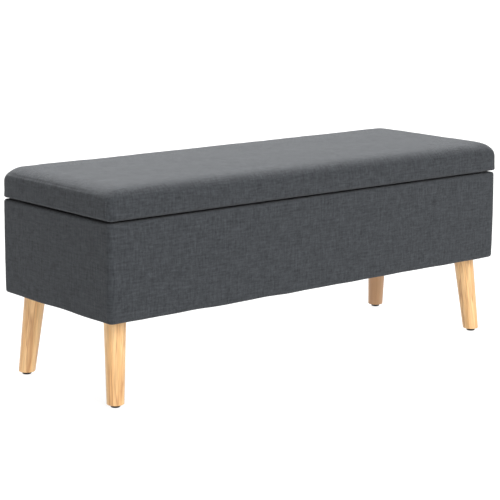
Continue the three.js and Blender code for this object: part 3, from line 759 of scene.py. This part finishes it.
def uneven_sides(points, normals, from_middle):
    """Crowns and waves the outer sides, presses in the corner seams and waves the bottom roll."""
    height = (points[:, 2] - base_low.z) / (base_high.z - base_low.z)
    sideways = np.linalg.norm(normals[:, :2], axis=1) > 0.1
    outwards = np.einsum("ij,ij->i", normals[:, :2], from_middle[:, :2]) > 0
    skin = (sideways & outwards).astype(float)
    free = smooth_step(height, 0.0, 0.08) * smooth_step(1 - height, 0.03, 0.12)
    (long, long_rise), (short, short_rise) = BASE_WAVES, BASE_RIPPLES
    groove_width, groove_depth = CORNER_GROOVE
    seam = seam_distance(points)
    puff = BASE_CROWN * np.sin(math.pi * np.clip(height, 0, 1))
    puff += long_rise * ripples(points, long, 11)
    puff += short_rise * ripples(points, short, 12)
    puff -= groove_depth * np.exp(-((seam / groove_width) ** 2))
    points += normals * (skin * free * puff)[:, None]
    roll, roll_rise = BASE_ROLL_WAVES
    wave = roll_rise * ripples(points, roll, 13)
    near_roll = smooth_step(0.25 - height, 0.0, 0.2)
    points[:, 2] += np.where(height < 0.3, wave * near_roll * skin, 0.0)


def stand_proud(points, insets, from_middle):
    """Moves the outer skin out past the CAD solid at the ends and the front, and less so
    further in, over the rim and under the box."""
    stand = smooth_step(-insets, BASE_TOP_EDGE[0] - BASE_HEM, 0.0)
    inside = insets > panel_low.x - base_low.x - 2 * HAIR
    stand = np.where(inside, 0.0, stand)
    half = (base_high - base_low) / 2
    points[:, 0] += BASE_END_PROUD * stand * from_middle[:, 0] / half.x
    points[:, 1] += FRONT_PROUD * stand * np.minimum(from_middle[:, 1] / half.y, 0)


def base_upholstery():
    """The box's padded cover, as one closed skin from under the box to inside its rim."""

    def outline(inset):
        return rounded_outline(base_low, base_high, inset, BASE_CORNER, BASE_STEP)

    profile = base_profile()
    points, faces, cloth = swept(outline, profile)
    item = piece("base_upholstery", "base", "charcoal_fabric", points, faces, cloth)
    from_middle = points - np.array((base_low + base_high) / 2)
    uneven_sides(points, normals_of(item), from_middle)
    insets = np.repeat([inset for inset, _ in profile], len(points) // len(profile))
    stand_proud(points, insets, from_middle)
    move_points(item, points)
    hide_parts("base_cover", "base_padding")


# ---- Linings ----


SHEET_STEP = 9 * MM
SHEET_EDGE = 2 * MM  # from a sheet's edge to its first cut
SHEET_WAVE = 55 * MM


def flat_sheet(name, body, node, seed, lift):
    """A thin sheet over a CAD sheet's box, waving by lift."""
    low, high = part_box(node)
    xs = spaced(low.x, high.x, SHEET_STEP, both_ends(low.x, high.x, [SHEET_EDGE]))
    ys = spaced(low.y, high.y, SHEET_STEP, both_ends(low.y, high.y, [SHEET_EDGE]))
    points, faces, cloth = box_grid(xs, ys, [low.z, high.z])
    points[:, 2] += lift * ripples(points, SHEET_WAVE, seed)
    item = piece(name, body, "black_lining", points, faces, cloth)
    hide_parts(node)


LINING = 0.7 * MM  # its thickness
LINING_STEP = 11 * MM
CREASE = 1.1 * MM  # how far it creases away from the panels
CREASE_LENGTHS = (90 * MM, 28 * MM)
CREASE_FADE = 30 * MM  # down from the rim, where it lies smooth


def storage_lining():
    """The open-topped lining of the storage space, as one thin wrinkled skin."""
    low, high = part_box("storage_lining")
    xs = spaced(low.x + LINING, high.x - LINING, LINING_STEP)
    ys = spaced(low.y + LINING, high.y - LINING, LINING_STEP)
    zs = spaced(low.z + LINING, high.z, LINING_STEP)
    points, faces, _ = box_grid(xs, ys, zs)
    top = points[:, 2] > high.z - TINY
    on_rim = top & (
        (np.abs(points[:, 0]) > xs[-1] - TINY)
        | (points[:, 1] < ys[0] + TINY)
        | (points[:, 1] > ys[-1] - TINY)
    )
    faces = [face for face in faces if not all(top[v] for v in face)]
    keep = np.flatnonzero(~top | on_rim)
    renumbered = {int(old): new for new, old in enumerate(keep)}
    points = points[keep]
    faces = [[renumbered[v] for v in face][::-1] for face in faces]
    item = piece("storage_lining_cloth", "base", "black_lining", points, faces)
    normals = normals_of(item)
    below_rim = smooth_step(high.z - points[:, 2], 0.0, CREASE_FADE)
    long, short = CREASE_LENGTHS
    creases = np.maximum(ripples(points, long, 21), 0)
    creases += 0.35 * np.maximum(ripples(points, short, 22), 0)
    loose = CREASE * below_rim * creases + HAIR
    move_points(item, points + normals * loose[:, None])
    solid = item.modifiers.new("thickness", "SOLIDIFY")
    solid.thickness = LINING
    solid.offset = -1
    apply_modifiers(item)
    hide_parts("storage_lining")


# ---- Legs ----

LEG_TOP_RADIUS = 23 * MM
LEG_FOOT_RADIUS = 18 * MM
FOOT_CHAMFER = 1.3 * MM
LEG_TOP_CHAMFER = 0.6 * MM
LEG_SEGMENTS = 72
GLIDE_RADIUS = 10 * MM
GLIDE_EDGE = 2.6 * MM  # the radius of its rounded lower edge


def middle_of(node):
    low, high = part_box(node)
    return (low + high) / 2


def leg(place, number):
    """A tapered round leg along its CAD node's sloping axis, with a flat, eased foot."""
    low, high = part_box(f"leg_{place}")
    foot, top = middle_of(f"glide_{place}"), middle_of(f"leg_plate_{place}")
    slope = (top - foot) / (top.z - foot.z)
    rows = np.linspace(low.z + FOOT_CHAMFER, high.z - LEG_TOP_CHAMFER, 12)
    taper = (LEG_TOP_RADIUS - LEG_FOOT_RADIUS) / (high.z - low.z)
    profile = [(LEG_FOOT_RADIUS * share, low.z) for share in (0.05, 0.5, 0.8)]
    profile += arc(
        (LEG_FOOT_RADIUS - FOOT_CHAMFER, low.z + FOOT_CHAMFER), (FOOT_CHAMFER,) * 2, -90, -10, 4
    )
    profile += [(LEG_FOOT_RADIUS + taper * (z - low.z), z) for z in rows]
    profile += [(LEG_TOP_RADIUS - LEG_TOP_CHAMFER, high.z), (LEG_TOP_RADIUS * 0.5, high.z)]
    points, faces = turned(profile, LEG_SEGMENTS)
    grain = points + np.array([0.4 * number, 0.23 * number, 0.7 * number])
    points[:, 0] += foot.x + slope.x * (points[:, 2] - foot.z)
    points[:, 1] += foot.y + slope.y * (points[:, 2] - foot.z)
    item = piece(f"wooden_leg_{place}", "base", "pale_wood", points, faces)
    attribute = item.data.attributes.new(GRAIN, "FLOAT_VECTOR", "POINT")
    attribute.data.foreach_set("vector", grain.astype(np.float32).ravel())
    heart_and_shade = item.data.attributes.new(HEARTWOOD_AND_SHADE, "FLOAT", "POINT")
    # 1 on the back-right leg: browner heartwood plus painted shade for the bench's shadow over it
    heart_and_shade.data.foreach_set("value", [float(place == DARKER_SHADED_LEG)] * len(points))
    mark_sharp(item)
    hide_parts(f"leg_{place}")


def mark_sharp(item, degrees=32):
    """Keeps crisp edges crisp under smooth shading."""
    item.data.set_sharp_from_angle(angle=math.radians(degrees))


def glide(place):
    """The domed nail-on glide under a leg."""
    low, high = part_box(f"glide_{place}")
    edge, chamfer, centre = GLIDE_EDGE, 0.4 * MM, 0.5 * MM
    dome = arc((GLIDE_RADIUS - edge, low.z + edge), (edge, edge), -90, 0, 8)
    profile = [(centre, low.z), (GLIDE_RADIUS * 0.5, low.z), *dome]
    profile += [(GLIDE_RADIUS, high.z - chamfer), (GLIDE_RADIUS - chamfer, high.z)]
    profile += [(centre, high.z)]
    points, faces = turned(profile, 48)
    points[:, :2] += np.array(middle_of(f"glide_{place}").xy)
    item = piece(f"glide_cap_{place}", "base", "black_plastic", points, faces)
    mark_sharp(item)
    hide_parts(f"glide_{place}")


# ---- Small fasteners ----

SCREW_HEAD = 3.6 * MM
PAN_HEAD = 1.6 * MM  # how high a pan head stands
FLUSH_HEAD = 0.15 * MM  # and a countersunk one, which a stay's link swings past
CROSS_DEPTH = 0.6 * MM


def screw_head(at, towards, height):
    """A screw head with a cross recess, whose top faces towards."""
    dome = arc((0.0, 0.0), (SCREW_HEAD, height), 0, 78, 6)
    profile = [(SCREW_HEAD * 0.5, -CROSS_DEPTH), (SCREW_HEAD, -0.2 * MM), *dome]
    profile += [(SCREW_HEAD * 0.12, height * 0.55)]
    points, faces = turned(profile, 24)
    angle = np.arctan2(points[:, 1], points[:, 0])
    radius = np.hypot(points[:, 0], points[:, 1])
    in_cross = (np.abs(np.sin(2 * angle)) < 0.35) & (radius < SCREW_HEAD * 0.6)
    in_cross &= points[:, 2] > height / 2
    points[:, 2] -= np.where(in_cross, CROSS_DEPTH, 0.0)
    turn = Vector((0, 0, 1)).rotation_difference(Vector(towards)).to_matrix()
    return points @ np.array(turn).T + np.array(at), faces


def screws(name, body, places, towards, height=PAN_HEAD):
    points, faces = joined([screw_head(at, towards, height) for at in places])
    item = piece(name, body, "zinc_steel", points, faces)
    mark_sharp(item, 40)


PLATE_SCREW_OFFSET = 24 * MM  # from a plate's or a bracket's middle to its screws
BASE_BRACKET_SCREW_OFFSET = 25 * MM
LID_BRACKET_SCREW_OFFSET = 13 * MM
BRACKET_METAL = 2 * MM


def leg_plate_screws(place):
    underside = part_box(f"leg_plate_{place}")[0].z
    centre = middle_of(f"leg_plate_{place}")
    offset = PLATE_SCREW_OFFSET
    places = [
        (centre.x + sx * offset, centre.y + sy * offset, underside)
        for sx in (-1, 1)
        for sy in (-1, 1)
    ]
    screws(f"leg_plate_screws_{place}", "base", places, (0, 0, -1))


def bracket_screws(side, sign):
    low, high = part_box(f"stay_base_bracket_{side}")
    centre = (low + high) / 2
    inner = low.x if sign > 0 else high.x
    places = [(inner, centre.y, centre.z + k * BASE_BRACKET_SCREW_OFFSET) for k in (-1, 1)]
    screws(f"stay_base_screws_{side}", "base", places, (-sign, 0, 0), FLUSH_HEAD)
    low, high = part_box(f"stay_lid_bracket_{side}")
    centre = (low + high) / 2
    flange_x = centre.x - sign * BRACKET_METAL
    underside = high.z - BRACKET_METAL
    places = [(flange_x, centre.y + k * LID_BRACKET_SCREW_OFFSET, underside) for k in (-1, 1)]
    screws(f"stay_lid_screws_{side}", "lid", places, (0, 0, -1))


STITCH = np.array((0.9, 3.6, 0.8)) * MM  # its width, length and height
STITCH_PITCH = 4.4 * MM
STITCHES_FROM = 9 * MM  # up from the hem to the first stitch
STITCHES_TO = 24 * MM  # and down from the top to the last
STITCH_SLANT = 32  # degrees, to one side and the other in turn


def stitch(at, facing, slant):
    """A short rounded thread that lies on a surface facing a direction."""
    profile = arc((0.0, 0.0), (0.5, 0.5), -80, 80, 6)
    points, faces = turned(profile, 10)
    spin = np.array(Matrix.Rotation(math.radians(slant), 3, "Z"))
    turn = np.array(Vector((0, 0, 1)).rotation_difference(Vector(facing)).to_matrix())
    return points * STITCH @ spin.T @ turn.T + at, faces


def pleat_stitches(cushion):
    """Slip stitches down the pleat at each corner of the lid, laid on the cushion."""
    skin, outward = points_of(cushion), normals_of(cushion)
    heights = np.arange(lid_low.z + STITCHES_FROM, lid_high.z - STITCHES_TO, STITCH_PITCH)
    parts = []
    for end in (-1, 1):
        for pleat in (lid_low.y + PLEAT, lid_high.y - PLEAT):
            for index, height in enumerate(heights):
                wanted = np.array((lid_centre.x + end * lid_half.x, pleat, height))
                nearest = int(np.argmin(np.linalg.norm(skin - wanted, axis=1)))
                slant = STITCH_SLANT * (-1) ** index
                parts.append(stitch(skin[nearest], outward[nearest], slant))
    points, faces = joined(parts)
    piece("lid_pleat_stitches", "lid", "charcoal_fabric", points, faces, material=THREAD)


STAPLE = Vector((11 * MM, 1.1 * MM, 0.5 * MM))  # its length, width and height
STAPLE_FROM_CORNER = 30 * MM
STAPLE_PITCH = 55 * MM


def staple_row(start, end):
    """Staples along a line from start to end, each turned a little."""
    random = np.random.default_rng(31)
    start, end = Vector(start), Vector(end)
    run = end - start
    length = run.length - 2 * STAPLE_FROM_CORNER
    count = max(2, round(length / STAPLE_PITCH))
    heading = math.atan2(run.y, run.x)
    half = STAPLE / 2
    parts = []
    for k in range(count + 1):
        at = start + run.normalized() * (STAPLE_FROM_CORNER + length * k / count)
        points, faces, _ = box_grid(
            spaced(-half.x, half.x, STAPLE.x / 4), [-half.y, half.y], [-half.z, half.z]
        )
        ends = np.abs(points[:, 0]) > half.x * 0.9
        points[:, 2] *= np.where(ends, 0.5, 1.0)
        turn = heading + random.uniform(-0.12, 0.12)
        spin = np.array(Matrix.Rotation(turn, 3, "Z"))
        parts.append((points @ spin.T + np.array(at), faces))
    return parts


def staples(name, body, node, inset):
    """Staples round the edge of a flat sheet, on its underside."""
    low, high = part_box(node)
    z = low.z - HAIR
    x0, x1, y0, y1 = low.x + inset, high.x - inset, low.y + inset, high.y - inset
    rows = [((x0, y0, z), (x1, y0, z)), ((x0, y1, z), (x1, y1, z))]
    rows += [((x0, y0, z), (x0, y1, z)), ((x1, y0, z), (x1, y1, z))]
    parts = [part for start, end in rows for part in staple_row(start, end)]
    points, faces = joined(parts)
    piece(name, body, "zinc_steel", points, faces, smooth=False)


# ---- CAD nodes that stay ----


def finish_frame_nodes():
    """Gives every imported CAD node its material, with crisp edges on smooth rounds."""
    slots = {part["node"]: part["material_slot"] for part in frame["record"]["subparts"]}
    for name, node in frame["nodes"].items():
        node.data.materials.clear()
        node.data.materials.append(MATERIALS[slots[name]])
        node.data.polygons.foreach_set("use_smooth", [True] * len(node.data.polygons))
        mark_sharp(node, 30)


# ---- Studio ----

FLOOR_HALF = 20.0
BACKDROP = (32.0, 4.0)  # the floor's far rim: how far out, and how high it rises
FLOOR_GREY = 0.15
FLOOR_GLOW = 0.93
WORLD_GLOW = 0.25
CAMERA_AT = Vector((-2.498, -2.9595, 1.0029))
CAMERA_YAW = 39.825  # degrees, as are pitch and roll
CAMERA_PITCH = 11.25
CAMERA_ROLL = 0.27
CAMERA_LENS = 126.67  # millimetres
CLIP_END = 200


def studio_floor():
    """A pale floor whose far rim rises all round, so that every view ends in it."""
    corners = [(-1, -1), (1, -1), (1, 1), (-1, 1)]
    points = [
        (x * reach, y * reach, height)
        for reach, height in ((FLOOR_HALF, 0.0), BACKDROP)
        for x, y in corners
    ]
    faces = [[0, 1, 2, 3]] + [[k, k + 4, (k + 1) % 4 + 4, (k + 1) % 4] for k in range(4)]
    mesh = bpy.data.meshes.new("studio_floor")
    mesh.from_pydata(points, [], faces)
    shader = Shader("studio_floor", roughness=0.8)
    shader.colour(rgb(FLOOR_GREY, FLOOR_GREY, FLOOR_GREY))
    shader.surface.inputs["Specular IOR Level"].default_value = 0.0
    shader.surface.inputs["Emission Color"].default_value = rgb(1, 1, 1)
    shader.surface.inputs["Emission Strength"].default_value = FLOOR_GLOW
    mesh.materials.append(shader.material)
    floor = bpy.data.objects.new("studio_floor", mesh)
    bpy.context.scene.collection.objects.link(floor)


def sun(name, towards, strength, spread):
    """A large soft light far away in the direction towards, spread wide in degrees."""
    light = bpy.data.lights.new(name, "SUN")
    light.energy = strength
    light.angle = math.radians(spread)
    lamp = bpy.data.objects.new(name, light)
    lamp.rotation_euler = Vector(towards).to_track_quat("Z", "Y").to_euler()
    bpy.context.scene.collection.objects.link(lamp)


def studio_light():
    world = bpy.data.worlds.new("studio")
    world.use_nodes = True
    background = world.node_tree.nodes["Background"]
    background.inputs["Color"].default_value = rgb(1, 1, 1)
    background.inputs["Strength"].default_value = WORLD_GLOW
    bpy.context.scene.world = world
    sun("key_softbox", (0.30, 0.52, 0.80), 7.8, 44)
    sun("front_fill", (-0.05, -0.76, 0.64), 3.1, 50)


def studio_camera():
    camera = bpy.data.objects.new("camera", bpy.data.cameras.new("camera"))
    camera.data.lens = CAMERA_LENS
    camera.data.clip_end = CLIP_END
    turn = Matrix.Rotation(math.radians(-CAMERA_YAW), 4, "Z")
    tilt = Matrix.Rotation(math.radians(90 - CAMERA_PITCH), 4, "X")
    roll = Matrix.Rotation(math.radians(CAMERA_ROLL), 4, "Z")
    camera.matrix_world = Matrix.Translation(CAMERA_AT) @ turn @ tilt @ roll
    bpy.context.scene.collection.objects.link(camera)
    bpy.context.scene.camera = camera
    bpy.context.scene.view_settings.view_transform = "Standard"


# ---- Building it all ----

studio_camera()
studio_light()
studio_floor()
finish_frame_nodes()
pleat_stitches(lid_cushion())
base_upholstery()
storage_lining()
flat_sheet("lid_lining_cloth", "lid", "lid_lining", 41, 0.1 * MM)
flat_sheet("dust_cover_cloth", "base", "dust_cover", 42, 0.15 * MM)
staples("lid_lining_staples", "lid", "lid_lining", 5 * MM)
staples("dust_cover_staples", "base", "dust_cover", 6 * MM)
for number, place in enumerate(CORNERS):
    leg(place, number)
    glide(place)
    leg_plate_screws(place)
for side, sign in SIDES.items():
    bracket_screws(side, sign)
